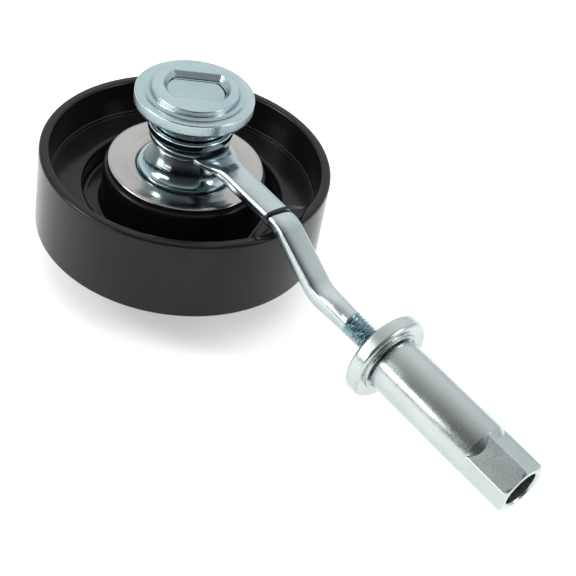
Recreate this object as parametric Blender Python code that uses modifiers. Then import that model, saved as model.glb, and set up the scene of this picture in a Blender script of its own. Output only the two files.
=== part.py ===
"""Belt tensioner idler: a smooth pulley on a sealed ball bearing, an adjuster
arm hooked round the axle, and a long sleeve nut on the arm's threaded end.

Metres, +Z is the pulley axle and +X is the arm. The origin is the middle of the
axle's lower end face. Heights below are measured from the pulley's mid plane,
which lies MID above the origin: add() lifts every piece by that much.
"""
import math

import bmesh
import bpy
from mathutils import Matrix, Vector

MM = 0.001
GAP = 0.3 * MM                      # air left between neighbouring pieces

# ------------------------------------------------------------ driving sizes
# pulley
PULLEY_R = 36.0 * MM
PULLEY_W = 21.4 * MM
RIM_UP = 10.3 * MM                  # upper rim above the bearing's mid plane
WALL = 2.5 * MM                     # outer wall at the rim
HUB_WALL = 2.4 * MM                 # hub cup
WEB_T = 2.6 * MM

# ball bearing, 15 x 35 x 11
BORE_R = 7.5 * MM
BEARING_R = 17.5 * MM
BEARING_W = 11.0 * MM
BALL_R = 2.9 * MM
BALLS = 8
SEAL_T = 0.8 * MM

# pieces stacked on the axle
COVER_T = 0.8 * MM
COVER_RISE = 1.4 * MM               # flat ring of the cover over its clamped middle
COLLAR_LEN = 8.0 * MM
EYE_T = 2.6 * MM
WASHER_T = 2.2 * MM
SPIGOT_LEN = 4.5 * MM
CAP_T = 3.4 * MM
CAP_R = 14.4 * MM
BOSS_H = 1.3 * MM
RECESS = 1.7 * MM                   # tenon's end below the cap's top
FLAT_HALF = 4.75 * MM               # double-D tenon, half across its flats
FLAT_ANGLE = math.radians(51.0)
LOWER_COLLAR_LEN = 4.6 * MM
LOWER_WASHER_T = 1.8 * MM
TAIL_R = 5.9 * MM
NUT_AF = 18.0 * MM
NUT_H = 6.8 * MM
TAIL_PROUD = 1.8 * MM               # threaded tail past the nut

# arm: flattened bar, then round rod
BAR_HALF_W = 3.45 * MM
BAR_HALF_T = 2.0 * MM
RIM_CLEAR = 0.95 * MM               # bar over the pulley's rim
ROD_R = 2.95 * MM
BEND_DROP = 10.0 * MM               # from the first bend down to the second
ROD_SLOPE = math.radians(5.57)      # the rod runs this far below level

# sleeve nut and thrust washer
FLANGE_R = 10.6 * MM
FLANGE_T = 4.2 * MM
TUBE_R = 6.75 * MM
TUBE_LEN = 40.5 * MM
TUBE_BORE = 4.4 * MM
THREAD_LEN = 15.0 * MM
HEX_AF = 11.5 * MM
HEX_LEN = 12.2 * MM
HEX_TURN = math.radians(10.1)

WIRE_R = 0.35 * MM
STEPS = 36

# ------------------------------------------------------------ sizes that follow
HALF_B = BEARING_W / 2
TOP = RIM_UP
BOTTOM = TOP - PULLEY_W
PITCH_R = (BORE_R + BEARING_R) / 2
RACE_R = BALL_R + GAP               # groove radius
SHOULDER = 0.6 * BALL_R             # ring shoulders either side of the pitch circle
PIN_R = BORE_R - GAP
HUB_R = BEARING_R + GAP + HUB_WALL
COVER_R = HUB_R - 0.8 * MM
NECK_R = BORE_R + 1.5 * MM
FOOT_R = NECK_R + 2.7 * MM
EYE_R = BORE_R + 2.4 * MM
COLLAR_R = PITCH_R - SHOULDER + 0.1 * MM

COVER_Z = HALF_B + GAP                              # underside of the cover's middle
COLLAR_Z = COVER_Z + COVER_T + GAP
EYE_Z = COLLAR_Z + COLLAR_LEN + GAP
NECK_WASHER_Z = EYE_Z + EYE_T + GAP
SPIGOT_Z = NECK_WASHER_Z + WASHER_T + GAP
CAP_Z = SPIGOT_Z + SPIGOT_LEN
CAP_TOP = CAP_Z + CAP_T + BOSS_H
LOWER_COLLAR_TOP = -HALF_B - COVER_T - 2 * GAP
LOWER_WASHER_TOP = LOWER_COLLAR_TOP - LOWER_COLLAR_LEN - GAP
NUT_TOP = LOWER_WASHER_TOP - LOWER_WASHER_T - GAP
MID = -(NUT_TOP - NUT_H - TAIL_PROUD)

BAR_Z = TOP + RIM_CLEAR + BAR_HALF_T                # bar's centre over the rim
BEND_1 = PULLEY_R + 0.5 * MM
BEND_2 = BEND_1 + 14.7 * MM
BEND_2_Z = BAR_Z - BEND_DROP
FLANGE_X = BEND_2 + 20.0 * MM                       # thrust washer's arm-side face
ROD_END = FLANGE_X + 26.8 * MM
NOSE_R = ROD_R + 1.65 * MM


# ------------------------------------------------------------ helpers
def clear():
    for ob in list(bpy.data.objects):
        bpy.data.objects.remove(ob, do_unlink=True)


def collection(name):
    col = bpy.data.collections.new(name)
    bpy.context.scene.collection.children.link(col)
    return col


def material(name, colour, metallic, rough):
    mat = bpy.data.materials.new(name)
    mat.use_nodes = True
    bsdf = mat.node_tree.nodes["Principled BSDF"]
    bsdf.inputs["Base Color"].default_value = (*colour, 1.0)
    bsdf.inputs["Metallic"].default_value = metallic
    bsdf.inputs["Roughness"].default_value = rough
    mat.diffuse_color = (*colour, 1.0)
    return mat


ZINC = ((0.62, 0.67, 0.69), 1.0, 0.28)
STEEL = ((0.60, 0.58, 0.55), 1.0, 0.18)
BLACK = ((0.012, 0.012, 0.013), 0.0, 0.35)
RACE = ((0.55, 0.55, 0.56), 1.0, 0.15)
RUBBER = ((0.03, 0.03, 0.03), 0.0, 0.7)
NYLON = ((0.55, 0.42, 0.20), 0.0, 0.5)


def add(name, mesh, look, col, loc=(0, 0, 0), rot=(0, 0, 0)):
    """New object, lifted from the pulley's mid plane to the origin's height."""
    mesh.name = name
    if look:
        mesh.materials.append(material(name, *look))
    ob = bpy.data.objects.new(name, mesh)
    ob.rotation_mode = "ZYX"                        # turn about its own axis first
    ob.rotation_euler = rot
    ob.location = (loc[0], loc[1], loc[2] + MID)
    col.objects.link(ob)
    return ob


def turned(name, points, look, col, steps=STEPS, bored=True, **place):
    """Profile turned about Z: down the outside, and back up the bore if bored."""
    me = bpy.data.meshes.new("profile")
    n = len(points)
    edges = [(i, (i + 1) % n) for i in range(n if bored else n - 1)]
    me.from_pydata([(r, 0, z) for r, z in points], edges, [])
    ob = add(name, me, look, col, **place)
    mod = ob.modifiers.new("turn", "SCREW")
    mod.axis = "Z"
    mod.angle = 2 * math.pi
    mod.steps = mod.render_steps = steps
    mod.use_merge_vertices = True
    mod.merge_threshold = 1e-5
    return ob


def arc(r0, z0, rad, a0, a1, n):
    """n + 1 profile points on a circle about (r0, z0), angles in degrees."""
    angles = (math.radians(a0 + (a1 - a0) * i / n) for i in range(n + 1))
    return [(r0 + rad * math.cos(a), z0 + rad * math.sin(a)) for a in angles]


def flipped(points):
    """The same profile upside down, still running down its outside."""
    return [(r, -z) for r, z in points][::-1]


def block(name, size, loc, turn, tools):
    bm = bmesh.new()
    bmesh.ops.create_cube(bm, size=1, matrix=Matrix.Diagonal((*size, 1)))
    me = bpy.data.meshes.new(name)
    bm.to_mesh(me)
    bm.free()
    return add(name, me, None, tools, loc=loc, rot=(0, 0, turn))


def spheres(bm, radius):
    """A sphere in every ball's place."""
    for k in range(BALLS):
        a = 2 * math.pi * k / BALLS
        place = Matrix.Translation((PITCH_R * math.cos(a), PITCH_R * math.sin(a), 0))
        bmesh.ops.create_uvsphere(bm, u_segments=12, v_segments=8, radius=radius, matrix=place)


def boolean(ob, tool, operation="DIFFERENCE"):
    tool.hide_render = True
    tool.display_type = "WIRE"
    mod = ob.modifiers.new(tool.name, "BOOLEAN")
    mod.operation = operation
    mod.solver = "EXACT"
    mod.object = tool
    return ob


def two_flats(ob, half, z0, z1, tools):
    """Cut a round solid to a double D between two heights."""
    deep = 10 * MM
    for k, side in enumerate((1, -1)):
        off = side * (half + deep / 2)
        loc = (-off * math.sin(FLAT_ANGLE), off * math.cos(FLAT_ANGLE), (z0 + z1) / 2)
        size = (4 * PIN_R, deep, z1 - z0)
        boolean(ob, block(f"{ob.name}_flat_{k + 1}", size, loc, FLAT_ANGLE, tools))


def rod_z(x):
    """Height of the rod's axis at this x."""
    return BEND_2_Z - (x - BEND_2) * math.tan(ROD_SLOPE)


def along_rod(x=FLANGE_X, turn=0.0):
    """Place with local +Z looking out along the rod, turned about that axis."""
    return {"loc": (x, 0.0, rod_z(x)), "rot": (0.0, math.pi / 2 + ROD_SLOPE, turn)}


# ------------------------------------------------------------ pulley and bearing
def pulley_shell(col):
    """Pressed shell: outer wall, web, a fold down round the hub, and the hub cup."""
    inner, seat = PULLEY_R - WALL, BEARING_R + GAP
    lip = -HALF_B - GAP
    web = 0.5 * MM
    fold = HUB_R + 4.6 * MM                         # outer side of the fold
    floor = -4.8 * MM
    pts = [(PULLEY_R - 0.5 * MM, TOP), (PULLEY_R, TOP - 0.5 * MM),
           (PULLEY_R, BOTTOM + 0.6 * MM), (PULLEY_R - 0.6 * MM, BOTTOM), (inner + 0.3 * MM, BOTTOM),
           (inner - 0.1 * MM, BOTTOM + 0.4 * MM), (inner - 0.1 * MM, web - WEB_T - 1.2 * MM),
           (inner - 1.3 * MM, web - WEB_T), (fold + 3.4 * MM, web - WEB_T),
           (fold + 2.5 * MM, web - WEB_T - 1.2 * MM), (fold + 1.2 * MM, floor - 2.6 * MM),
           (HUB_R, floor - 2.8 * MM), (HUB_R - 0.8 * MM, lip - 2.2 * MM),
           (seat - 2.4 * MM, lip - 2.2 * MM), (seat - 2.4 * MM, lip), (seat, lip)]
    cup = COVER_Z + COVER_RISE - 2 * GAP            # top of the cup, under the cover
    pts += [(seat, cup - 0.5 * MM), (seat + 0.5 * MM, cup), (HUB_R - 0.6 * MM, cup),
            (HUB_R, cup - 0.6 * MM), (HUB_R, floor + 0.9 * MM), (HUB_R + 0.9 * MM, floor),
            (fold - 0.9 * MM, floor), (fold, floor + 0.9 * MM), (fold, web - 1.2 * MM),
            (fold + 0.5 * MM, web - 0.3 * MM), (fold + 1.5 * MM, web),
            (inner - 1.2 * MM, web), (inner - 0.5 * MM, web + 0.7 * MM),
            (inner, TOP - 0.4 * MM), (inner + 0.4 * MM, TOP)]
    return turned("pulley_shell", pts, BLACK, col, 48)


def race_groove(a0, a1):
    return arc(PITCH_R, 0, RACE_R, a0, a1, 6)


def groove_half_angle():
    return math.degrees(math.acos(SHOULDER / RACE_R))


def outer_ring(col):
    r, sh, a = BEARING_R, PITCH_R + SHOULDER, groove_half_angle()
    recess, step = sh + 0.8 * MM, HALF_B - SEAL_T - 2 * GAP
    pts = [(r - 0.5 * MM, HALF_B), (r, HALF_B - 0.5 * MM), (r, 0.5 * MM - HALF_B),
           (r - 0.5 * MM, -HALF_B), (recess, -HALF_B), (recess, -step), (sh, -step)]
    pts += race_groove(-a, a)
    pts += [(sh, step), (recess, step), (recess, HALF_B)]
    return turned("bearing_outer_ring", pts, RACE, col, 32)


def inner_ring(col):
    sh, a = PITCH_R - SHOULDER, groove_half_angle()
    pts = [(sh, HALF_B)] + race_groove(180 - a, 180 + a)
    pts += [(sh, -HALF_B), (BORE_R + 0.4 * MM, -HALF_B), (BORE_R, 0.4 * MM - HALF_B),
            (BORE_R, HALF_B - 0.4 * MM), (BORE_R + 0.4 * MM, HALF_B)]
    return turned("bearing_inner_ring", pts, RACE, col, 32)


def balls(col):
    for k in range(BALLS):
        a = 2 * math.pi * k / BALLS
        bm = bmesh.new()
        bmesh.ops.create_uvsphere(bm, u_segments=12, v_segments=8, radius=BALL_R)
        me = bpy.data.meshes.new("ball")
        bm.to_mesh(me)
        bm.free()
        place = (PITCH_R * math.cos(a), PITCH_R * math.sin(a), 0)
        add(f"bearing_ball_{k + 1}", me, RACE, col, loc=place)


def cage(col, tools):
    """Crown cage: a ring over the balls, with one open pocket for each."""
    half = SHOULDER - 2 * GAP
    back, front = HALF_B - SEAL_T - 2.4 * GAP, -0.9 * MM
    pts = [(PITCH_R + half, back), (PITCH_R + half, front),
           (PITCH_R - half, front), (PITCH_R - half, back)]
    ob = turned("bearing_cage", pts, NYLON, col, 32)
    bm = bmesh.new()
    spheres(bm, RACE_R)
    me = bpy.data.meshes.new("pockets")
    bm.to_mesh(me)
    bm.free()
    return boolean(ob, add("cut_pockets", me, None, tools))


def seal(name, col, below=False):
    """Rubber shield held by the outer ring, with a shallow rib at each edge."""
    ri, ro = PITCH_R - SHOULDER + GAP, PITCH_R + SHOULDER + 0.8 * MM - GAP
    z1 = HALF_B - GAP
    z0 = z1 - SEAL_T
    pts = [(ro, z1), (ro, z0), (ri, z0), (ri, z1), (ri + 0.8 * MM, z1),
           (ri + 1.1 * MM, z1 - 0.2 * MM), (ro - 1.1 * MM, z1 - 0.2 * MM), (ro - 0.8 * MM, z1)]
    return turned(name, flipped(pts) if below else pts, RUBBER, col, 32)


# ------------------------------------------------------------ axle stack
def dust_cover_upper(col):
    """Dished cover, clamped at its middle, standing still over the hub cup."""
    r, t, low = COVER_R, COVER_T, COVER_Z
    high = low + COVER_RISE
    dish = FOOT_R + 0.4 * MM
    pts = [(r - 0.9 * MM, high + t), (r - 0.3 * MM, high + t - 0.2 * MM), (r, high + 0.1 * MM),
           (r, high), (r - 0.4 * MM, high - 0.2 * MM), (r - 1.0 * MM, high - 0.1 * MM),
           (dish + 1.7 * MM, high), (dish + 1.0 * MM, high - 0.4 * MM), (dish + 0.5 * MM, low),
           (BORE_R, low), (BORE_R, low + t), (dish, low + t), (dish + 0.3 * MM, high + 0.1 * MM),
           (dish + 1.1 * MM, high + t - 0.1 * MM), (dish + 1.8 * MM, high + t)]
    return turned("dust_cover_upper", pts, STEEL, col)


def dust_cover_lower(col):
    """The same idea underneath, dished down past the cup's inner lip."""
    r, t = HUB_R - 1.4 * MM, COVER_T
    low = -HALF_B - GAP
    deep = low - 2.2 * MM - GAP
    dish = COLLAR_R + 1.3 * MM
    pts = [(dish, low), (dish + 1.7 * MM, deep), (r - 0.8 * MM, deep), (r, deep - 0.5 * MM),
           (r, deep - 1.3 * MM), (r - 0.6 * MM, deep - 1.3 * MM), (r - 1.0 * MM, deep - t),
           (dish + 1.3 * MM, deep - t), (dish - 0.4 * MM, low - t), (BORE_R, low - t), (BORE_R, low)]
    return turned("dust_cover_lower", pts, STEEL, col)


def trumpet_collar(col):
    """Flared spacer: wide foot on the cover, concave flare up to a plain neck."""
    z0, z1 = COLLAR_Z, COLLAR_Z + COLLAR_LEN
    start, foot = z1 - 3.0 * MM, z0 + 1.6 * MM
    rx, rz = FOOT_R - 0.5 * MM - NECK_R, start - foot
    flare = [(NECK_R + rx * (1 - math.cos(a)), start - rz * math.sin(a))
             for a in (math.pi / 2 * i / 7 for i in range(8))]
    pts = [(NECK_R, z1)] + flare
    pts += [(FOOT_R, foot - 0.5 * MM), (FOOT_R, z0 + 0.4 * MM), (FOOT_R - 0.4 * MM, z0),
            (BORE_R, z0), (BORE_R, z1)]
    return turned("trumpet_collar", pts, ZINC, col)


def washer(name, r, bore, z0, z1, edge, col):
    pts = [(r - edge, z1), (r, z1 - edge), (r, z0 + edge), (r - edge, z0), (bore, z0), (bore, z1)]
    return turned(name, pts, ZINC, col)


def axle_cap(col, tools):
    """Cap with a raised boss and a spigot, broached right through with a double D."""
    r, face = CAP_R, CAP_Z + CAP_T
    boss, spigot = PIN_R + 4.0 * MM, BORE_R + 1.8 * MM
    pts = [(0, CAP_TOP), (boss - 1.4 * MM, CAP_TOP), (boss - 1.0 * MM, CAP_TOP - 0.4 * MM),
           (boss - 0.4 * MM, face + 0.1 * MM), (boss, face), (r - 0.4 * MM, face),
           (r, face - 0.4 * MM), (r, CAP_Z + 0.5 * MM), (r - 0.5 * MM, CAP_Z),
           (spigot + 0.4 * MM, CAP_Z), (spigot, CAP_Z - 0.4 * MM), (spigot, SPIGOT_Z + 0.3 * MM),
           (spigot - 0.3 * MM, SPIGOT_Z), (0, SPIGOT_Z)]
    ob = turned("axle_cap", pts, ZINC, col, 44, bored=False)
    low, high = SPIGOT_Z - 2 * MM, CAP_TOP + 2 * MM
    r = PIN_R + GAP
    hole = turned("cut_double_d", [(0, high), (r, high), (r, low), (0, low)], None, tools, bored=False)
    two_flats(hole, FLAT_HALF + GAP, low - MM, high + MM, tools)
    return boolean(ob, hole)


def axle_pin(col, tools):
    """Pin through the whole stack: double-D tenon on top, threaded tail below."""
    r, end = PIN_R, CAP_TOP - RECESS
    step = LOWER_WASHER_TOP + 2.6 * GAP
    pts = [(0, end), (r - 0.3 * MM, end), (r, end - 0.3 * MM), (r, step), (TAIL_R, step),
           (TAIL_R, 0.8 * MM - MID), (TAIL_R - 0.8 * MM, -MID), (0, -MID)]
    ob = turned("axle_pin", pts, ZINC, col, bored=False)
    two_flats(ob, FLAT_HALF, SPIGOT_Z - GAP / 2, CAP_TOP + MM, tools)
    return ob


def axle_nut(col, tools):
    """Hexagon with both corners turned off, bored to clear the tail."""
    z0, z1 = NUT_TOP - NUT_H, NUT_TOP
    corner, flat = NUT_AF / math.sqrt(3), NUT_AF / 2 - 0.2 * MM
    hexagon = [(0, z1), (corner, z1), (corner, z0), (0, z0)]
    ob = turned("axle_nut", hexagon, ZINC, col, 6, bored=False)
    wide, bore, e = corner + MM, TAIL_R + GAP, 1.4 * MM
    pts = [(flat, z1), (wide, z1 - e), (wide, z0 + e), (flat, z0), (flat, z0 - MM),
           (bore, z0 - MM), (bore, z1 + MM), (flat, z1 + MM)]
    return boolean(ob, turned("cut_nut_round", pts, None, tools), "INTERSECT")


# ------------------------------------------------------------ arm
def bends(points, radii, n=5):
    """Points and directions along a polyline in x-z with arcs at its corners."""
    P = [Vector((x, 0, z)) for x, z in points]
    out = [(P[0], (P[1] - P[0]).normalized())]
    for i, radius in enumerate(radii, 1):
        a = (P[i - 1] - P[i]).normalized()
        b = (P[i + 1] - P[i]).normalized()
        half = a.angle(b) / 2
        centre = P[i] + (a + b).normalized() * (radius / math.sin(half))
        s, e = [P[i] + v * (radius / math.tan(half)) - centre for v in (a, b)]
        axis = s.cross(e).normalized()
        for k in range(n + 1):
            rot = Matrix.Rotation(s.angle(e) * k / n, 3, axis)
            out.append((centre + rot @ s, (rot @ -a).normalized()))
    out.append((P[-1], (P[-1] - P[-2]).normalized()))
    return out


def section(a, b, rc, n=5):
    """Rounded rectangle of half sizes a by b with corner radius rc."""
    pts = []
    for k, (sx, sy) in enumerate(((1, 1), (-1, 1), (-1, -1), (1, -1))):
        for i in range(n):
            t = math.pi / 2 * (k + i / (n - 0.999))
            pts.append((sx * (a - rc) + rc * math.cos(t), sy * (b - rc) + rc * math.sin(t)))
    return pts


def bar_sizes():
    """Half width, half thickness and corner radius of the bar against x."""
    w, t, r, eye = BAR_HALF_W, BAR_HALF_T, ROD_R, 0.45 * EYE_T
    round_x, end = BEND_2 + 4.8 * MM, ROD_END - 0.8 * MM
    return [(0, w + 2.3 * MM, eye, 0.9 * MM), (EYE_R + 0.6 * MM, w + 2.1 * MM, eye, 1.0 * MM),
            (EYE_R + 3.4 * MM, w + 0.7 * MM, 0.75 * t, 1.4 * MM), (EYE_R + 6.4 * MM, w, t, 1.5 * MM), (BEND_1 + 7.6 * MM, w, t, 1.5 * MM),
            (round_x, r, r, r), (end, r, r, r), (ROD_END, r - 0.7 * MM, r - 0.7 * MM, r - 0.7 * MM)]


def bar_mesh():
    """The bar swept along its bent centre line, flat at the eye and round at the rod."""
    mid = EYE_Z + EYE_T / 2
    line = [(EYE_R - 1.7 * MM, mid), (EYE_R + 0.8 * MM, mid - 0.1 * MM), (BEND_1, BAR_Z),
            (BEND_2, BEND_2_Z), (ROD_END, rod_z(ROD_END))]
    path = bends(line, [5 * MM, 9 * MM, 9 * MM])
    straight = path[7][1]                           # between the eye and the first bend
    for k, x in enumerate((EYE_R + 3.4 * MM, EYE_R + 6.4 * MM)):
        z = line[1][1] + (x - line[1][0]) * straight.z / straight.x
        path.insert(7 + k, (Vector((x, 0, z)), straight))
    out = path[-1][1]
    for x in (BEND_2 + 4.8 * MM, ROD_END - 0.8 * MM):
        path.insert(-1, (Vector((x, 0, rod_z(x))), out))
    keys = bar_sizes()
    rings = []
    for p, d in path:
        (x0, *s0), (x1, *s1) = next(k for k in zip(keys, keys[1:]) if p.x <= k[1][0] + 1e-9)
        u = (p.x - x0) / (x1 - x0)
        a, b, rc = [m + (q - m) * u for m, q in zip(s0, s1)]
        up = Vector((-d.z, 0, d.x))
        rings.append([p + Vector((0, sx, 0)) + up * sy for sx, sy in section(a, b, rc)])
    bm = bmesh.new()
    loops = [[bm.verts.new(v) for v in ring] for ring in rings]
    n = len(loops[0])
    for one, two in zip(loops, loops[1:]):
        for j in range(n):
            bm.faces.new((one[j], one[(j + 1) % n], two[(j + 1) % n], two[j]))
    bm.faces.new(loops[0][::-1])
    bm.faces.new(loops[-1])
    bmesh.ops.recalc_face_normals(bm, faces=bm.faces)
    me = bpy.data.meshes.new("bar")
    bm.to_mesh(me)
    bm.free()
    return me


def adjuster_arm(col, tools):
    ob = add("adjuster_arm", bar_mesh(), ZINC, col)
    r, z0, z1, e = EYE_R, EYE_Z, EYE_Z + EYE_T, 0.7 * MM
    pts = [(0, z1), (r - e, z1), (r - 0.25 * e, z1 - 0.25 * e), (r, z1 - e), (r, z0 + e),
           (r - 0.25 * e, z0 + 0.25 * e), (r - e, z0), (0, z0)]
    boolean(ob, turned("add_eye", pts, None, tools, bored=False), "UNION")
    b, over = BORE_R, 3 * MM
    hole = [(0, z1 + over), (b, z1 + over), (b, z0 - over), (0, z0 - over)]
    return boolean(ob, turned("cut_eye", hole, None, tools, bored=False))


def wire_clip(col):
    """Thin formed wire lying over the arm, its ends just inside the pulley's rim."""
    wall = PULLEY_R - WALL - GAP - WIRE_R                   # how far out the ends may reach
    over = BAR_Z + BAR_HALF_T + WIRE_R + GAP
    x = wall - 0.6 * MM
    side = BAR_HALF_W + WIRE_R + 1.4 * MM
    right = 12.1 * MM
    pts = [(x - 0.6 * MM, -7.4 * MM, TOP - 3.2 * MM), (x - 0.1 * MM, -side, over - 3.6 * MM),
           (x, -BAR_HALF_W, over + 0.2 * MM), (x + 0.4 * MM, 0, over + 0.6 * MM),
           (x + 0.8 * MM, BAR_HALF_W, over + 0.3 * MM), (x + 0.5 * MM, 7.4 * MM, over - 2.2 * MM),
           (math.sqrt(wall ** 2 - right ** 2), right, TOP - 0.2 * MM)]
    cu = bpy.data.curves.new("wire_clip", "CURVE")
    cu.dimensions = "3D"
    cu.bevel_depth = WIRE_R
    cu.bevel_resolution = 2
    cu.resolution_u = 5
    cu.use_fill_caps = True
    sp = cu.splines.new("BEZIER")
    sp.bezier_points.add(len(pts) - 1)
    for bp, p in zip(sp.bezier_points, pts):
        bp.co = p
        bp.handle_left_type = bp.handle_right_type = "AUTO"
    cu.materials.append(material("wire_clip", *BLACK))
    ob = bpy.data.objects.new("wire_clip", cu)
    ob.location.z = MID
    col.objects.link(ob)
    return ob


# ------------------------------------------------------------ sleeve nut
def thrust_washer(col):
    """Flange under the sleeve: full round rim, dished back with a low lip."""
    r, t, b, soft = FLANGE_R, FLANGE_T, NOSE_R + GAP, 0.9 * MM
    lip = TUBE_R + 0.7 * MM
    pts = [(b, t), (lip, t), (lip + 0.2 * MM, t - 0.6 * MM), (r - 1.6 * MM, t - 0.5 * MM)]
    pts += arc(r - soft, t - 1.1 * MM, soft, 90, 0, 4)
    pts += arc(r - soft, soft, soft, 0, -90, 4)
    pts += [(b, 0)]
    return turned("thrust_washer", pts, ZINC, col, **along_rod())


def sleeve_nut(col, tools):
    """Tube with a threaded nose in the washer, a clear bore and a hexagon end."""
    z0 = FLANGE_T + GAP
    z1 = z0 + TUBE_LEN
    r, thread, mouth, e = TUBE_R, ROD_R + GAP, TUBE_BORE, 0.9 * MM
    pts = [(mouth + 0.4 * MM, z1), (r - e, z1), (r, z1 - e), (r, z0 + 0.5 * MM),
           (r - 0.5 * MM, z0), (NOSE_R, z0), (NOSE_R, 0.6 * MM), (NOSE_R - 0.3 * MM, GAP),
           (thread, GAP), (thread, THREAD_LEN), (mouth, THREAD_LEN + 1.2 * MM),
           (mouth, z1 - 0.4 * MM)]
    ob = turned("sleeve_nut", pts, ZINC, col, **along_rod())
    corner, out = HEX_AF / math.sqrt(3), 2 * TUBE_R
    low, high = z1 - HEX_LEN, z1 + 2 * MM
    waste = [(out, high), (out, low), (corner, low), (corner, high)]
    place = along_rod(turn=HEX_TURN)
    return boolean(ob, turned("cut_hex", waste, None, tools, 6, **place))


# ------------------------------------------------------------ build
clear()
parts = collection("belt_tensioner_idler")
tools = collection("cutters")

pulley_shell(parts)
outer_ring(parts)
inner_ring(parts)
balls(parts)
cage(parts, tools)
seal("bearing_seal_upper", parts)
seal("bearing_seal_lower", parts, below=True)
dust_cover_upper(parts)
dust_cover_lower(parts)
trumpet_collar(parts)
adjuster_arm(parts, tools)
washer("neck_washer", BORE_R + 2.9 * MM, BORE_R, NECK_WASHER_Z, NECK_WASHER_Z + WASHER_T,
       0.4 * MM, parts)
axle_cap(parts, tools)
axle_pin(parts, tools)
washer("lower_collar", COLLAR_R, BORE_R, LOWER_COLLAR_TOP - LOWER_COLLAR_LEN, LOWER_COLLAR_TOP,
       0.4 * MM, parts)
washer("lower_washer", COLLAR_R + 1.2 * MM, TAIL_R + GAP, LOWER_WASHER_TOP - LOWER_WASHER_T,
       LOWER_WASHER_TOP, 0.2 * MM, parts)
axle_nut(parts, tools)
wire_clip(parts)
thrust_washer(parts)
sleeve_nut(parts, tools)
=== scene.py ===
# %% [markdown]
# # Belt tensioner idler
# A smooth black pulley turns on a sealed bearing. A bright zinc arm hooks round the axle above it,
# leaves over the rim, bends down and ends in a thread, where a long sleeve nut pulls against a
# round thrust washer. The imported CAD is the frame: every new surface is put where its node is.

# %% Load the frame
import math

import bmesh
import bpy
import numpy as np
from mathutils import Matrix, Vector


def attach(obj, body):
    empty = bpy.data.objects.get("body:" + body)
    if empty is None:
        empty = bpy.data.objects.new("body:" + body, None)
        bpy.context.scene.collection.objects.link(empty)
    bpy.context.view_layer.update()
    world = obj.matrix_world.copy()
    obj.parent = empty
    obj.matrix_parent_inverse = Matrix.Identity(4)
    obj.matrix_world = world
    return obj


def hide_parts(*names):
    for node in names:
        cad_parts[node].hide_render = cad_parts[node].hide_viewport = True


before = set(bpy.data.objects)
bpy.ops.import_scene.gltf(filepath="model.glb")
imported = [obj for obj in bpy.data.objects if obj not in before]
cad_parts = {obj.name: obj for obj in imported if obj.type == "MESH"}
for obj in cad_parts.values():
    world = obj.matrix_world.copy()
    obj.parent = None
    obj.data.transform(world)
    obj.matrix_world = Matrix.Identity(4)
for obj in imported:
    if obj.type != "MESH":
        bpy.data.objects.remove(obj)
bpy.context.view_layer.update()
MM = 0.001

# %% [markdown]
# Heights are easiest to read from the pulley's mid plane, which lies 22.5 mm above the axle's
# lower end. The rod runs slightly downhill from its second bend, so the washer and the sleeve
# get a frame of their own, with its third axis looking out along the rod.

# %% Two frames to build in
MID = 22.5
SLOPE = math.radians(5.57)
BEND_1, BEND_2, BEND_2_Z, WASHER_X = 36.5, 51.2, 3.25, 72.0


def rod_height(x):
    """Height of the rod's axis: it falls by the tangent of the slope past the second bend."""
    return BEND_2_Z - (x - BEND_2) * math.tan(SLOPE)


def on_axle(v):
    """Points given from the pulley's mid plane, in metres from the axle's end."""
    return (v + [0, 0, MID]) * MM


def on_rod(v):
    """Points given along the rod from the washer's face: third axis outwards and downhill."""
    s, c = math.sin(SLOPE), math.cos(SLOPE)
    axes = np.array([[-s, 0, -c], [0, 1, 0], [c, 0, -s]])
    return (v @ axes + [WASHER_X, 0, rod_height(WASHER_X) + MID]) * MM


print("rod at the washer:", round(rod_height(WASHER_X) + MID, 2), "mm up")

# %% [markdown]
# Nearly every piece here was turned on a lathe, so one surface does most of the work: a profile
# carried round an axis. Real turned corners are never sharp, and a corner that is softened with a
# few short steps catches the thin line of light that makes metal look like metal.

# %% Soft corners and turned surfaces
def eased(points, radius=0.25, closed=True, steps=5):
    """Each corner P gives way to (1-t)^2 A + 2t(1-t) P + t^2 B, a curve between points A and B
    on its two sides, with one more point just outside each end to hold the flats flat."""
    p = np.array(points, float)
    r = np.broadcast_to(np.asarray(radius, float), len(p)).copy()
    if not closed:
        r[[0, -1]] = 0
    a, b = np.roll(p, 1, 0) - p, np.roll(p, -1, 0) - p
    la, lb = np.linalg.norm(a, axis=1), np.linalg.norm(b, axis=1)
    a, b = a / la[:, None], b / lb[:, None]
    half = np.arccos(np.clip((a * b).sum(1), -1, 1)) / 2
    cut = np.minimum(r / np.maximum(np.tan(half), 1e-3), 0.42 * np.minimum(la, lb))
    t = np.linspace(0, 1, steps + 1)[None, :, None]
    one, two = (p + a * cut[:, None])[:, None], (p + b * cut[:, None])[:, None]
    curve = (1 - t) ** 2 * one + 2 * t * (1 - t) * p[:, None] + t ** 2 * two
    hold = np.minimum(0.12, 0.05 * np.minimum(la, lb))[:, None] * (cut > 0)[:, None]
    curve = np.concatenate([one + (a * hold)[:, None], curve, two + (b * hold)[:, None]], 1)
    flat = curve.reshape(-1, curve.shape[-1])
    keep = np.linalg.norm(flat - np.roll(flat, 1, 0), axis=1) > 1e-5
    keep[0] = True
    return flat[keep]


def grid_faces(rows, cols, wrap_rows):
    """Quads joining a grid's points, always closed round its columns."""
    i, j = np.meshgrid(np.arange(rows if wrap_rows else rows - 1), np.arange(cols), indexing="ij")
    i2, j2 = (i + 1) % rows, (j + 1) % cols
    return np.stack([i * cols + j, i * cols + j2, i2 * cols + j2, i2 * cols + j], -1).reshape(-1, 4)


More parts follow.
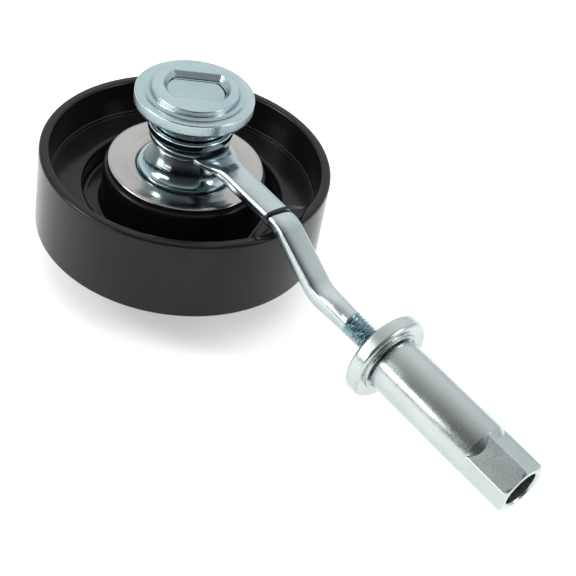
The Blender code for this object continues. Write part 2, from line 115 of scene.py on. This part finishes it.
def piece(name, points, faces, body, nodes, finish, sharp=35):
    """A closed mesh with outward faces, smooth but for its real edges, riding on a body."""
    me = bpy.data.meshes.new(name)
    me.from_pydata(points.tolist(), [], [list(f) for f in faces])
    bm = bmesh.new()
    bm.from_mesh(me)
    bmesh.ops.remove_doubles(bm, verts=bm.verts, dist=1e-7)
    bmesh.ops.recalc_face_normals(bm, faces=bm.faces)
    bm.to_mesh(me)
    open_edges = sum(not e.is_manifold for e in bm.edges)
    bm.free()
    me.shade_smooth()
    me.set_sharp_from_angle(angle=math.radians(sharp))
    ob = bpy.data.objects.new(name, me)
    bpy.context.scene.collection.objects.link(ob)
    ob.data.materials.append(finish)
    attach(ob, body)
    if nodes:
        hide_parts(*nodes)
    size = np.ptp(points, axis=0) / MM
    print(f"{name}: {len(me.polygons)} faces, {size.round(1)} mm, open edges {open_edges}")


def turned(profile, columns, shape):
    """Profile (r, z) carried round the axis: (r cos a, r sin a, z). A profile that starts and
    ends on the axis is closed by its poles; shape(r, z, a) may bend the radius."""
    a = np.arange(columns) / columns * 2 * math.pi
    r, z = profile[:, :1] + 0 * a, profile[:, 1:] + 0 * a
    if shape:
        r, z = shape(r, z, a[None] + 0 * r)
    return np.stack([r * np.cos(a), r * np.sin(a), z], -1).reshape(-1, 3)


def lathe(name, points, body, nodes, finish, place=on_axle, radius=0.25, columns=144, bored=True,
          shape=None, sharp=35):
    """One turned piece, from its corners to a finished object."""
    profile = eased(points, radius, closed=bored)
    v = turned(profile, columns, shape)
    piece(name, place(v), grid_faces(len(profile), columns, bored), body, nodes, finish, sharp)

# %% [markdown]
# ## Finishes
# Bright zinc plate is a thin bluish film over steel: it shines, but tool marks and grain show
# through it as fine lines and small changes of shine. Each finish mixes three things on the
# object's own coordinates: slow cloudiness, fine grain, and lines left by turning.

# %% A helper for wiring nodes
class Wiring:
    """Short names for making and joining shader nodes in one material."""

    def __init__(self, name):
        self.mat = bpy.data.materials.new(name)
        self.mat.use_nodes = True
        self.tree = self.mat.node_tree
        self.shader = self.tree.nodes["Principled BSDF"]
        self.coords = self.tree.nodes.new("ShaderNodeTexCoord").outputs["Object"]

    def node(self, kind, inputs=(), **settings):
        n = self.tree.nodes.new("ShaderNode" + kind)
        for key, value in settings.items():
            setattr(n, key, value)
        for key, value in dict(inputs).items():
            self.put(n.inputs[key], value)
        return n

    def put(self, socket, value):
        if isinstance(value, bpy.types.NodeSocket):
            self.tree.links.new(value, socket)
        else:
            socket.default_value = value

    def turned_frame(self, along_rod):
        """Coordinates whose third axis is the axle, or the rod."""
        if not along_rod:
            return self.coords
        at = (WASHER_X * MM, 0, (rod_height(WASHER_X) + MID) * MM)
        shifted = self.node("VectorMath", {0: self.coords, 1: at}, operation="SUBTRACT")
        turn = self.node("VectorRotate", {"Vector": shifted.outputs[0], "Angle": -math.pi / 2 - SLOPE},
                         rotation_type="Y_AXIS")
        return turn.outputs[0]

    def cloud(self, scale, detail=3.0, where=None):
        return self.node("TexNoise", {"Vector": where or self.coords, "Scale": scale,
                                      "Detail": detail}).outputs["Fac"]

    def spread(self, value, low, high, frm=0.3, to=0.7):
        n = self.node("MapRange", {"Value": value, "From Min": frm, "From Max": to,
                                   "To Min": low, "To Max": high})
        return n.outputs["Result"]

    def tint(self, value, dark, light):
        n = self.node("Mix", {"Factor": value}, data_type="RGBA")
        for socket, colour in ((n.inputs[6], dark), (n.inputs[7], light)):
            self.put(socket, colour if isinstance(colour, bpy.types.NodeSocket) else (*colour, 1))
        return n.outputs[2]

    def waves(self, where, scale, kind, distortion):
        """Even lines across the third axis (BANDS) or round it (RINGS)."""
        n = self.node("TexWave", {"Vector": where, "Scale": scale, "Distortion": distortion,
                                  "Detail": 2.0}, wave_type=kind, **{f"{kind.lower()}_direction": "Z"})
        return n.outputs["Fac"]

    def base(self, slow, fine, dark, light, rough, grain):
        """Cloudy colour, and a cloudy roughness with fine grain added to it."""
        self.put(self.shader.inputs["Base Color"], self.tint(self.spread(slow, 0, 1), dark, light))
        total = self.node("Math", {0: self.spread(slow, *rough), 1: self.spread(fine, -grain, grain)},
                          operation="ADD")
        self.put(self.shader.inputs["Roughness"], total.outputs[0])

    def bump(self, height, strength, distance, under=None):
        n = self.node("Bump", {"Height": height, "Strength": strength, "Distance": distance})
        if under is not None:
            self.put(n.inputs["Normal"], under)
        return n.outputs["Normal"]

# %% [markdown]
# Lathe marks are circles round the axis on an end face and rings round a barrel. Wave texture in
# ring mode draws the first, and in band mode the second; a little noise keeps them from looking
# ruled.

# %% Turned metal
def turned_metal(name, dark, light, rough, along_rod=False, lines=700.0, depth=0.04, grit=0.05):
    w = Wiring(name)
    frame_in = w.turned_frame(along_rod)
    slow, fine = w.cloud(90.0), w.cloud(2600.0, 2.0)
    rings, bands = (w.waves(frame_in, lines, kind, 1.2) for kind in ("RINGS", "BANDS"))
    marks = w.node("Math", {0: rings, 1: bands}, operation="ADD").outputs[0]
    w.base(slow, fine, dark, light, rough, 0.03)
    w.shader.inputs["Metallic"].default_value = 1.0
    grain = w.bump(fine, grit, 0.00002)
    w.put(w.shader.inputs["Normal"], w.bump(marks, depth, 0.00001, grain))
    return w.mat


zinc = turned_metal("zinc_plate", (0.37, 0.46, 0.48), (0.45, 0.54, 0.555), (0.22, 0.32),
                    depth=0.02, grit=0.02)
pin_zinc = turned_metal("pin_zinc", (0.34, 0.43, 0.435), (0.41, 0.50, 0.50), (0.20, 0.28), depth=0.03)
bright_zinc = turned_metal("bright_zinc", (0.35, 0.47, 0.50), (0.44, 0.56, 0.58), (0.10, 0.17),
                           depth=0.015, grit=0.01)
rod_zinc = turned_metal("zinc_on_rod", (0.43, 0.48, 0.475), (0.50, 0.55, 0.54), (0.22, 0.32),
                        along_rod=True, grit=0.03)
cover_steel = turned_metal("cover_steel", (0.38, 0.365, 0.35), (0.44, 0.425, 0.41), (0.14, 0.22),
                           grit=0.02)
race_steel = turned_metal("race_steel", (0.50, 0.50, 0.51), (0.60, 0.60, 0.61), (0.10, 0.2))
print("metals:", [m.name for m in (zinc, bright_zinc, rod_zinc, cover_steel, race_steel)])

# %% [markdown]
# The arm was forged and flattened, not turned, so its zinc has no lathe lines: it has a soft
# orange peel, a faint drawn grain along its length and small bright and dull patches. Where the
# thread starts, the colour is painted darker and bluer: a painted reflection of the thread's flanks.

# %% Forged zinc for the arm
def forged_zinc():
    w = Wiring("forged_zinc")
    slow, peel, fine = w.cloud(120.0, 4.0), w.cloud(420.0, 2.0), w.cloud(3000.0, 2.0)
    along = w.node("Mapping", {"Vector": w.coords, "Scale": (150.0, 1800.0, 1800.0)}).outputs[0]
    drawn = w.cloud(1.0, 3.0, along)
    plate = w.tint(w.spread(slow, 0, 1), (0.42, 0.48, 0.49), (0.52, 0.58, 0.59))
    reach = w.node("SeparateXYZ", {0: w.coords}).outputs["X"]
    # Past x = 61.6 mm, where the thread starts, the colour is painted darker and bluer: a painted
    # reflection of the thread's flanks, not the plating's own colour.
    painted_thread_reflection = w.spread(reach, 0.0, 1.0, frm=0.0616, to=0.0622)
    w.put(w.shader.inputs["Base Color"], w.tint(painted_thread_reflection, plate, (0.25, 0.37, 0.42)))
    w.put(w.shader.inputs["Roughness"], w.spread(slow, 0.17, 0.27))
    w.shader.inputs["Metallic"].default_value = 1.0
    under = w.bump(drawn, 0.10, 0.00002, w.bump(peel, 0.06, 0.00003))
    w.put(w.shader.inputs["Normal"], w.bump(fine, 0.06, 0.00001, under))
    return w.mat


arm_zinc = forged_zinc()

# %% [markdown]
# The pulley is pressed steel with a satin black coat. Its belt face carries very fine rings from
# rolling. Rubber and nylon inside are dull, and the thin wire is coated black.

# %% Black coat, rubber, nylon and wire
def coated(name, dark, light, rough, lines=0.0, grain=1500.0, depth=0.15):
    w = Wiring(name)
    slow, fine = w.cloud(60.0, 4.0), w.cloud(grain, 3.0)
    w.base(slow, fine, dark, light, rough, 0.04)
    normal = w.bump(fine, depth, 0.00002)
    if lines:
        normal = w.bump(w.waves(w.coords, lines, "BANDS", 2.0), 0.12, 0.00001, normal)
    w.put(w.shader.inputs["Normal"], normal)
    w.shader.inputs["Specular IOR Level"].default_value = 0.21
    return w.mat


black_coat = coated("black_coat", (0.0035, 0.0035, 0.004), (0.007, 0.007, 0.0075), (0.16, 0.25),
                    lines=1100.0)
rubber = coated("seal_rubber", (0.020, 0.020, 0.021), (0.040, 0.040, 0.041), (0.60, 0.75))
nylon = coated("cage_nylon", (0.48, 0.36, 0.17), (0.60, 0.46, 0.23), (0.40, 0.55))
black_wire = coated("black_wire", (0.010, 0.010, 0.011), (0.022, 0.022, 0.024), (0.25, 0.40))
print("coats:", [m.name for m in (black_coat, rubber, nylon, black_wire)])

# %% [markdown]
# ## The pulley
# One pressing: the belt wall, a shelf nearly half way down, a deep fold round the hub and the
# cup that holds the bearing. Its profile goes down the outside and comes back up the inside, so
# the wall has its real thickness everywhere.

# %% Pulley shell
lathe("pulley", [
    (36.0, 10.3), (36.0, -11.1), (33.8, -11.1), (33.4, -10.7), (33.4, -3.4), (32.2, -2.1),
    (28.2, -2.1), (27.3, -3.3), (26.0, -7.4), (20.2, -7.6), (19.4, -8.0), (15.4, -8.0),
    (15.4, -5.8), (17.8, -5.8), (17.8, 6.6), (20.2, 6.6), (20.2, -4.8), (24.8, -4.8),
    (24.8, 0.5), (32.85, 0.5), (32.85, 1.25), (33.15, 1.4), (33.5, 10.3)],
    "pulley", ["pulley_shell"], black_coat, columns=240,
    radius=[.9, .5, .2, .3, .8, .9, .8, .8, .8, .8, .4, .2,
            .2, .2, .3, 1.6, .9, .9, 1.3, .25, .12, .12, .8])

# %% Bearing rings and seals
lathe("outer_ring", [(17.5, 5.5), (17.5, -5.5), (15.04, -5.5), (15.04, -4.1), (14.24, -4.1),
                     (14.24, -2.6), (15.5, -1.0), (15.5, 1.0), (14.24, 2.6), (14.24, 4.1), (15.04, 4.1),
                     (15.04, 5.5)], "pulley", ["bearing_outer_ring"], race_steel, radius=.3)
lathe("inner_ring", [(10.76, 5.5), (10.76, 2.6), (9.5, 1.0), (9.5, -1.0), (10.76, -2.6),
                     (10.76, -5.5), (7.5, -5.5), (7.5, 5.5)],
      "axle", ["bearing_inner_ring"], race_steel, radius=.3)
for side, name in ((1, "upper"), (-1, "lower")):
    lathe(f"seal_{name}", [(r, side * z) for r, z in (
        (14.74, 5.2), (14.74, 4.4), (11.06, 4.4), (11.06, 5.2), (11.86, 5.2), (12.16, 5.0),
        (13.64, 5.0), (13.94, 5.2))], "pulley", [f"bearing_seal_{name}"], rubber, radius=.1)

# %% [markdown]
# ## The stack on the axle
# The upper dust cover is a thin dished disc with a rolled edge, polished by the press. Over it a
# trumpet-shaped collar flares out to a foot, so that the arm's eye sits high and dirt stays out.

# %% Dust covers
lathe("dust_cover_upper", [
    (18.6, 8.0), (19.25, 7.8), (19.4, 7.3), (19.4, 7.2), (19.0, 7.0), (18.4, 7.2), (16.7, 7.2),
    (12.9, 6.5), (12.3, 5.8), (7.5, 5.8), (7.5, 6.6), (12.0, 6.6), (12.5, 7.15), (13.2, 7.42),
    (14.5, 7.63), (14.62, 7.60), (14.74, 7.67), (16.8, 8.0)], "axle", ["dust_cover_upper"], cover_steel,
    columns=200, radius=[.5, .4, .1, .05, .1, .3, .6, .3, .3, .1, .1, .3, .3, .4, .08, .08, .08, .9])
lathe("dust_cover_lower", [
    (12.16, -5.8), (13.86, -8.3), (18.0, -8.3), (18.8, -8.8), (18.8, -9.6), (18.2, -9.6),
    (17.8, -9.1), (12.16, -9.1), (10.46, -6.6), (7.5, -6.6), (7.5, -5.8)],
    "axle", ["dust_cover_lower"], cover_steel, radius=.35)

# %% Trumpet collar
def flare(top=(9.0, 13.3), foot=(11.4, 7.7), steps=14):
    """A quarter of an ellipse: r = r0 + w(1 - cos a), z = z0 - h sin a."""
    a = np.linspace(0, math.pi / 2, steps)
    return np.stack([top[0] + (foot[0] - top[0]) * (1 - np.cos(a)),
                     top[1] - (top[1] - foot[1]) * np.sin(a)], -1)


collar = np.concatenate([[(9.0, 14.9)], flare(), [(11.7, 7.6), (11.7, 6.9), (7.5, 6.9), (7.5, 14.9)]])
lathe("trumpet_collar", collar, "axle", ["trumpet_collar"], bright_zinc, columns=200,
      radius=[.3] + [.01] * 13 + [.2, .15, .2, .2, .2])

# %% Neck washer, lower collar and lower washer
for name, r, bore, low, high, edge, finish in (
        ("neck_washer", 10.4, 7.5, 18.1, 20.3, .45, bright_zinc),
        ("lower_collar", 10.86, 7.5, -11.5, -6.9, .4, zinc),
        ("lower_washer", 12.06, 6.2, -13.6, -11.8, .2, zinc)):
    lathe(name, [(r, high), (r, low), (bore, low), (bore, high)], "axle", [name], finish, radius=edge)

# %% [markdown]
# The cap is turned with a ring-shaped channel round a raised boss, and broached with a double D:
# two arcs joined by two flats. The pin's tenon fills the broach and stops short of the top, so
# it makes the recess's flat floor. A radius that is cut off by the flats gives both shapes.

# %% Axle cap
FLAT_ANGLE = math.radians(51.0)
CAP_BORE, HALF_FLATS, MOUTH_WIDENS, RECESS_R = 7.5, 5.05, 1.3, 8.6
MOUTH_R, MOUTH_Z, OFF_MIDDLE = 9.2, 28.48, [-0.6, 1.0, 0.0]


def double_d(r, a, half):
    """A circle cut off by two flats: min(r, half / |sin(a - turn)|)."""
    across = np.maximum(np.abs(np.sin(a - FLAT_ANGLE)), 1e-6)
    return np.minimum(r, half / across)


def cap_shape(r, z, a):
    """Only the bore and the sloping mouth of the recess take the double D."""
    cut = double_d(r, a, HALF_FLATS + MOUTH_WIDENS * (r - CAP_BORE))
    return np.where(r < RECESS_R, cut, r), z


def set_back(v):
    """The mouth of the recess was broached a little off the middle."""
    mouth = (np.hypot(v[:, 0], v[:, 1]) < MOUTH_R) & (v[:, 2] > MOUTH_Z)
    return on_axle(v + mouth[:, None] * OFF_MIDDLE)


lathe("axle_cap", [
    (10.35, 29.8), (10.75, 28.45), (11.5, 28.05), (12.5, 28.35), (14.4, 28.5), (14.4, 25.1),
    (9.7, 25.1), (9.3, 24.6), (9.3, 20.6), (7.5, 20.6), (7.5, 28.46), (6.95, 28.5), (8.1, 29.8)],
    "axle", ["axle_cap"], zinc, place=set_back, columns=240, shape=cap_shape,
    radius=[.35, .35, .4, .5, .45, .7, .2, .3, .3, .1, .01, .15, .4], sharp=30)

# %% Axle pin
TENON_Z, TENON_HALF = 20.4, 4.75
TAIL_R, TAIL_TOP, TAIL_END, TAIL_ROWS = 5.9, -14.9, -22.2, 60
TAIL_PITCH, TAIL_DEPTH = 1.25, 0.6


def pin_shape(r, z, a):
    """The upper end is a double D; the tail carries a thread, r - 2d |frac(z/p - a/2pi) - 1/2|."""
    r = np.where(z > TENON_Z, double_d(r, a, TENON_HALF), r)
    turn = np.abs((z / TAIL_PITCH - a / (2 * math.pi)) % 1 - 0.5) * 2
    on_tail = (r > 5.0) & (z < TAIL_TOP) & (z > TAIL_END)
    return np.where(on_tail, r - TAIL_DEPTH * turn, r), z


tail = np.stack([np.full(TAIL_ROWS, TAIL_R), np.linspace(TAIL_TOP, -21.9, TAIL_ROWS)], -1)
head = eased([(0, 28.45), (7.2, 28.45), (7.2, 20.42), (7.2, 20.38), (7.2, -12.6), (TAIL_R, -12.8),
              (TAIL_R, -14.8)], [0, .3, 0, 0, .2, .2, 0], closed=False)
pin = np.concatenate([head, tail, [(TAIL_R, -22.0), (5.1, -22.5), (0, -22.5)]])
lathe("axle_pin", pin, "axle", ["axle_pin"], pin_zinc, radius=0, bored=False, shape=pin_shape)

# %% [markdown]
# The nut under the pulley is a hexagon whose corners were turned off at both faces. A hexagon's
# radius is half its width divided by the cosine of the angle from the middle of the nearest flat.

# %% Axle nut
def hexagon(r, half, a, turn):
    """min(r, half / cos(angle from the nearest flat))."""
    near = (a - turn + math.pi / 6) % (math.pi / 3) - math.pi / 6
    return np.minimum(r, half / np.cos(near))


lathe("axle_nut", [(9.0, -13.9), (10.4, -14.6), (10.4, -20.0), (9.0, -20.7), (6.6, -20.7),
                   (6.2, -20.3), (6.2, -14.3), (6.6, -13.9)],
      "axle", ["axle_nut"], zinc, columns=144, radius=.12,
      shape=lambda r, z, a: (np.where(r > 7, hexagon(r, 9.0, a, math.pi / 6), r), z), sharp=25)

# %% [markdown]
# ## The arm
# The arm starts as a flat eye, runs out as a flattened bar, bends down past the pulley and
# becomes a round rod with an M6 thread. A superellipse changes smoothly from a flat-topped bar
# to a circle as its exponent falls from five at the eye to three along the bar and two on the
# rod, so the whole arm is one sweep.

# %% Path and sections of the arm
ARM_SIDES = 64


def along(points, radius, step=0.35):
    """Evenly spaced points on a line with soft bends, and the direction at each of them."""
    line = eased(points, radius, closed=False, steps=24)
    far = np.concatenate([[0], np.cumsum(np.linalg.norm(np.diff(line, axis=0), axis=1))])
    s = np.linspace(0, far[-1], int(far[-1] / step) + 1)
    path = np.stack([np.interp(s, far, line[:, k]) for k in range(line.shape[1])], -1)
    way = np.gradient(path, s, axis=0)
    return path, way / np.linalg.norm(way, axis=1)[:, None]


def superellipse(width, height, power):
    """Points w |cos t|^(2/n) and h |sin t|^(2/n) with their signs, one row for each section."""
    t = (np.arange(ARM_SIDES) + 0.5) / ARM_SIDES * 2 * math.pi
    e = 2 / power[:, None]
    c, s = np.cos(t)[None], np.sin(t)[None]
    return width[:, None] * np.sign(c) * np.abs(c) ** e, height[:, None] * np.sign(s) * np.abs(s) ** e


def capped(rows, cols):
    """Grid faces of a tube, with a point in the middle of each end to close it."""
    quads = grid_faces(rows, cols, False)
    j = np.arange(cols)
    k = (j + 1) % cols
    first, last = rows * cols, rows * cols + 1
    low = np.stack([j * 0 + first, k, j], -1)
    high = np.stack([j * 0 + last, (rows - 1) * cols + j, (rows - 1) * cols + k], -1)
    return [list(q) for q in quads] + [list(q) for q in low] + [list(q) for q in high]


def swept(path, way, across, up):
    """Points path + across * side + up * normal, with the two end middles added."""
    side = np.zeros((len(path), 3)) + [0, 1, 0]
    side = side - (side * way).sum(1)[:, None] * way
    side /= np.linalg.norm(side, axis=1)[:, None]
    top = np.cross(way, side)
    v = path[:, None] + across[..., None] * side[:, None] + up[..., None] * top[:, None]
    return np.concatenate([v.reshape(-1, 3), path[:1], path[-1:]])

# %% Arm bar, rod and thread
ROD_R, TIP_R, CHAMFER_X, ROD_END = 2.95, 2.2, 96.5, 98.0
PITCH, DEPTH = 1.0, 0.5
line = [(9.0, 0, 15.95), (10.8, 0, 15.85), (BEND_1, 0, 13.25), (BEND_2, 0, BEND_2_Z),
        (ROD_END, 0, rod_height(ROD_END))]
path, way = along(line, [0, 2, 8, 9, 0], 0.12)
x = path[:, 0]
half_w = np.interp(x, [9, 10.6, 12, 13.6, 15.2, 17, 33, 40, 49, 57, CHAMFER_X, ROD_END],
                   [5.9, 5.6, 5.0, 4.2, 3.7, 3.5, 3.45, 3.4, 3.35, ROD_R, ROD_R, TIP_R])
half_t = np.interp(x, [9, 12, 13.5, 15.5, 17.5, 33, 49, 57, CHAMFER_X, ROD_END],
                   [.85, 1.0, 1.35, 1.8, 1.95, 2.0, 2.3, ROD_R, ROD_R, TIP_R])
power = np.interp(x, [9, 14, 30, 45, 53, 60], [5.0, 3.2, 3.0, 3.0, 2.7, 2.0])
across, up = superellipse(half_w, half_t, power)
angle = (np.arange(ARM_SIDES) + 0.5) / ARM_SIDES
cut = np.interp(x, [61.7, 62.4], [0.0, DEPTH])[:, None]
groove = np.abs((x[:, None] / PITCH - angle[None]) % 1 - 0.5) * 2
shrink = 1 - cut * groove / half_w[:, None]
piece("arm_bar", on_axle(swept(path, way, across * shrink, up * shrink)),
      capped(len(path), ARM_SIDES), "arm", [], arm_zinc)

# %% [markdown]
# The eye is a flat ring round the axle, tipped a few degrees because the whole arm leans down
# from it. The bar starts inside its wall, as a forging's bar grows out of its eye, so the two
# surfaces meet without a gap.

# %% Eye of the arm
def tipped(v, angle=math.radians(3.8), height=16.5):
    """Turned about the middle of the eye: x' = x cos t + z sin t, z' = z cos t - x sin t."""
    x, z = v[:, 0], v[:, 2] - height
    c, s = math.cos(angle), math.sin(angle)
    return on_axle(np.stack([x * c + z * s, v[:, 1], height + z * c - x * s], -1))


lathe("arm_eye", [(9.9, 17.4), (9.9, 15.6), (7.55, 15.6), (7.55, 17.4)], "arm", ["adjuster_arm"],
      arm_zinc, place=tipped, radius=[.5, .5, .12, .12], columns=180)

# %% [markdown]
# ## The wire clip
# A thin black wire was bent over the arm to hold it still on its way to the customer. It lies
# on the bar's flat top and hangs down on both sides, inside the rim. It is a tube carried along
# a smooth line through a few bend points.

# %% Wire clip
WIRE_R, WIRE_SIDES = 0.37, 20


def smooth_line(points, samples=16):
    """Catmull-Rom curve: each span is a cubic through its ends, set by their neighbours."""
    p = np.array(points, float)
    p = np.concatenate([[2 * p[0] - p[1]], p, [2 * p[-1] - p[-2]]])
    t = np.linspace(0, 1, samples, endpoint=False)[None, :, None]
    a, b, c, d = (p[k:len(p) - 3 + k, None] for k in range(4))
    q = 0.5 * (2 * b + (c - a) * t + (2 * a - 5 * b + 4 * c - d) * t ** 2
               + (3 * b - a - 3 * c + d) * t ** 3)
    return np.concatenate([q.reshape(-1, 3), p[-2:-1]])


def tube(path, radius, columns):
    """A round tube: each section is turned square to the line's direction."""
    way = np.gradient(path, axis=0)
    way /= np.linalg.norm(way, axis=1)[:, None]
    side = np.cross(way, [1.0, 0, 0])
    side /= np.linalg.norm(side, axis=1)[:, None]
    other = np.cross(way, side)
    a = np.arange(columns) / columns * 2 * math.pi
    ends = np.ones(len(path))
    ends[[0, -1]] = 0.6
    round_it = np.cos(a)[None, :, None] * side[:, None] + np.sin(a)[None, :, None] * other[:, None]
    v = path[:, None] + radius * ends[:, None, None] * round_it
    return np.concatenate([v.reshape(-1, 3), path[:1], path[-1:]])


wire = smooth_line([(31.9, -7.6, 7.4), (32.6, -5.2, 12.0), (33.2, -3.65, 15.1), (33.6, -1.8, 15.95),
                    (33.9, 1.0, 16.0), (34.1, 3.3, 15.6), (33.4, 7.2, 13.4), (30.9, 11.6, 10.2)])
piece("wire_clip_black", on_axle(tube(wire, WIRE_R, WIRE_SIDES)), capped(len(wire), WIRE_SIDES),
      "arm", ["wire_clip"], black_wire)

# %% [markdown]
# ## Thrust washer and sleeve nut
# The washer has a full round rim and a dished back with a small lip round the sleeve. The sleeve
# is a plain tube whose last twelve millimetres are milled to a hexagon a little smaller than the
# tube, which leaves six crescent-shaped shoulders.

# %% Thrust washer
lathe("thrust_washer_rim", [
    (9.8, -0.8), (10.7, -0.2), (10.7, 2.7), (10.0, 3.3), (8.6, 2.9), (7.75, 2.8), (7.55, 3.4),
    (6.95, 3.4), (6.9, 3.0), (4.9, 3.0), (4.9, -0.8)],
    "thrust_washer", ["thrust_washer"], rod_zinc, place=on_rod, columns=180,
    radius=[.9, .9, .8, .6, .5, .2, .2, .15, .1, .1, .2])

# %% Sleeve nut
HEX_TURN, HEX_HALF = math.radians(10.1), 5.75
END, SHOULDER = 44.2, 32.0
SLEEVE_R, JUST_INSIDE = 6.75, 6.74


def sleeve_shape(r, z, a):
    """Past the shoulder the outside is the larger of a hexagon and a cone that narrows by half a
    millimetre for each millimetre, and its end is turned off at an angle."""
    hexed = hexagon(r, HEX_HALF, a, HEX_TURN + math.pi / 6)
    cone = np.minimum(SLEEVE_R - (z - SHOULDER) / 2, r)
    return np.where((z > SHOULDER + 0.001) & (r > 5.2), np.maximum(hexed, cone), r), z


cone_rows = [(JUST_INSIDE, z) for z in np.linspace(SHOULDER + 2.4, SHOULDER + 0.08, 24)]
lathe("sleeve_nut_tube", [
    (4.75, END), (5.9, END), (JUST_INSIDE, END - 0.7)] + cone_rows + [
    (SLEEVE_R, SHOULDER), (SLEEVE_R, 3.9), (6.4, 3.7), (4.6, 3.7), (4.6, 0.6), (4.3, 0.3),
    (3.25, 0.3), (3.25, 15.0), (4.4, 16.2), (4.4, END - 0.4)],
    "sleeve_nut", ["sleeve_nut"], rod_zinc, place=on_rod, columns=240, shape=sleeve_shape, sharp=28,
    radius=[.1, .12, .12] + [0] * (len(cone_rows) + 1) + [.15, .15, .1, .1, .1, .05, .1, .2, .1])

# %% [markdown]
# The balls and the cage stay as they were drawn: they are hidden between the seals, and need
# only their own steel and nylon.

# %% Carried-over pieces
for name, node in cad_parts.items():
    if name.startswith("bearing_ball") or name == "bearing_cage":
        look = nylon if name == "bearing_cage" else race_steel
        node.data.materials.clear()
        node.data.materials.append(look)
        print(name, "->", look.name)

# %% [markdown]
# ## Floor, light and camera
# A pale floor and a soft room give metal something to mirror: the room is brightest overhead and
# on the far side, and almost dark on the side it's viewed from. The lamp overhead only fills: it
# throws no shadow and isn't mirrored. Three smaller soft lamps draw the highlights.

# %% Floor
def floor():
    me = bpy.data.meshes.new("floor")
    s, low = 3.0, -0.0005
    me.from_pydata([(-s, -s, low), (s, -s, low), (s, s, low), (-s, s, low)], [], [(0, 1, 2, 3)])
    ob = bpy.data.objects.new("floor", me)
    bpy.context.scene.collection.objects.link(ob)
    w = Wiring("pale_floor")
    w.put(w.shader.inputs["Base Color"], w.tint(w.cloud(8.0), (0.95, 0.95, 0.95), (0.97, 0.97, 0.97)))
    w.shader.inputs["Roughness"].default_value = 0.9
    me.materials.append(w.mat)


floor()

# %% Soft room
def room():
    """Brightness by direction: a ramp on height, times a fall from the far side to the near one."""
    world = bpy.data.worlds.new("room")
    bpy.context.scene.world = world
    world.use_nodes = True
    t = world.node_tree
    where = t.nodes.new("ShaderNodeTexCoord")
    split = t.nodes.new("ShaderNodeSeparateXYZ")
    ramp = t.nodes.new("ShaderNodeValToRGB")
    lift = t.nodes.new("ShaderNodeMapRange")
    lift.inputs["From Min"].default_value = -1.0
    t.links.new(where.outputs["Generated"], split.inputs[0])
    t.links.new(split.outputs["Z"], lift.inputs["Value"])
    t.links.new(lift.outputs["Result"], ramp.inputs["Fac"])
    stops = ramp.color_ramp.elements
    stops[0].position, stops[0].color = 0.50, (0.58, 0.62, 0.63, 1)
    stops[1].position, stops[1].color = 1.0, (1.0, 1.0, 1.0, 1)
    for at, colour in ((0.62, (0.62, 0.66, 0.67, 1)), (0.76, (0.80, 0.84, 0.85, 1))):
        stops.new(at).color = colour
    side = t.nodes.new("ShaderNodeVectorMath")
    side.operation = "DOT_PRODUCT"
    side.inputs[1].default_value = (0.66, -0.75, 0.0)
    fall = t.nodes.new("ShaderNodeMapRange")
    for key, value in (("From Min", -0.8), ("From Max", 0.75), ("To Min", 1.4), ("To Max", 0.08)):
        fall.inputs[key].default_value = value
    t.links.new(where.outputs["Generated"], side.inputs[0])
    t.links.new(side.outputs["Value"], fall.inputs["Value"])
    t.links.new(ramp.outputs["Color"], t.nodes["Background"].inputs["Color"])
    t.links.new(fall.outputs["Result"], t.nodes["Background"].inputs["Strength"])


def lamp(name, place, aim, size, watts, mirrored=True):
    data = bpy.data.lights.new(name, "AREA")
    data.shape, data.size, data.size_y = "RECTANGLE", *size
    data.energy = watts
    ob = bpy.data.objects.new(name, data)
    ob.location = place
    ob.rotation_euler = (Vector(aim) - Vector(place)).to_track_quat("-Z", "Y").to_euler()
    ob.visible_glossy = mirrored
    data.use_shadow = mirrored
    bpy.context.scene.collection.objects.link(ob)


room()
lamp("overhead", (0.10, 0.10, 1.3), (0.04, 0, 0), (2.4, 2.4), 24, mirrored=False)
lamp("strip", (-0.20, -0.90, 0.33), (0.09, 0, 0.02), (0.60, 0.20), 3.0)
lamp("left", (-0.55, -0.75, 0.65), (0.03, 0, 0.03), (0.30, 0.45), 4.5)
lamp("right", (0.85, 0.45, 0.5), (0.05, 0, 0.03), (0.3, 0.45), 2.5)

# %% Camera
def camera():
    data = bpy.data.cameras.new("view")
    data.lens, data.sensor_width, data.clip_start = 87.5, 36.0, 0.01
    ob = bpy.data.objects.new("view", data)
    right, above = (0.65538, 0.73956, 0.15341), (-0.56304, 0.34298, 0.7519)
    back = (0.50345, -0.57916, 0.64118)
    turn = Matrix((right, above, back)).transposed().to_4x4()
    ob.matrix_world = Matrix.Translation((0.2081, -0.1923, 0.2326)) @ turn
    bpy.context.scene.collection.objects.link(ob)
    bpy.context.scene.camera = ob


camera()
bpy.context.scene.view_settings.view_transform = "Standard"
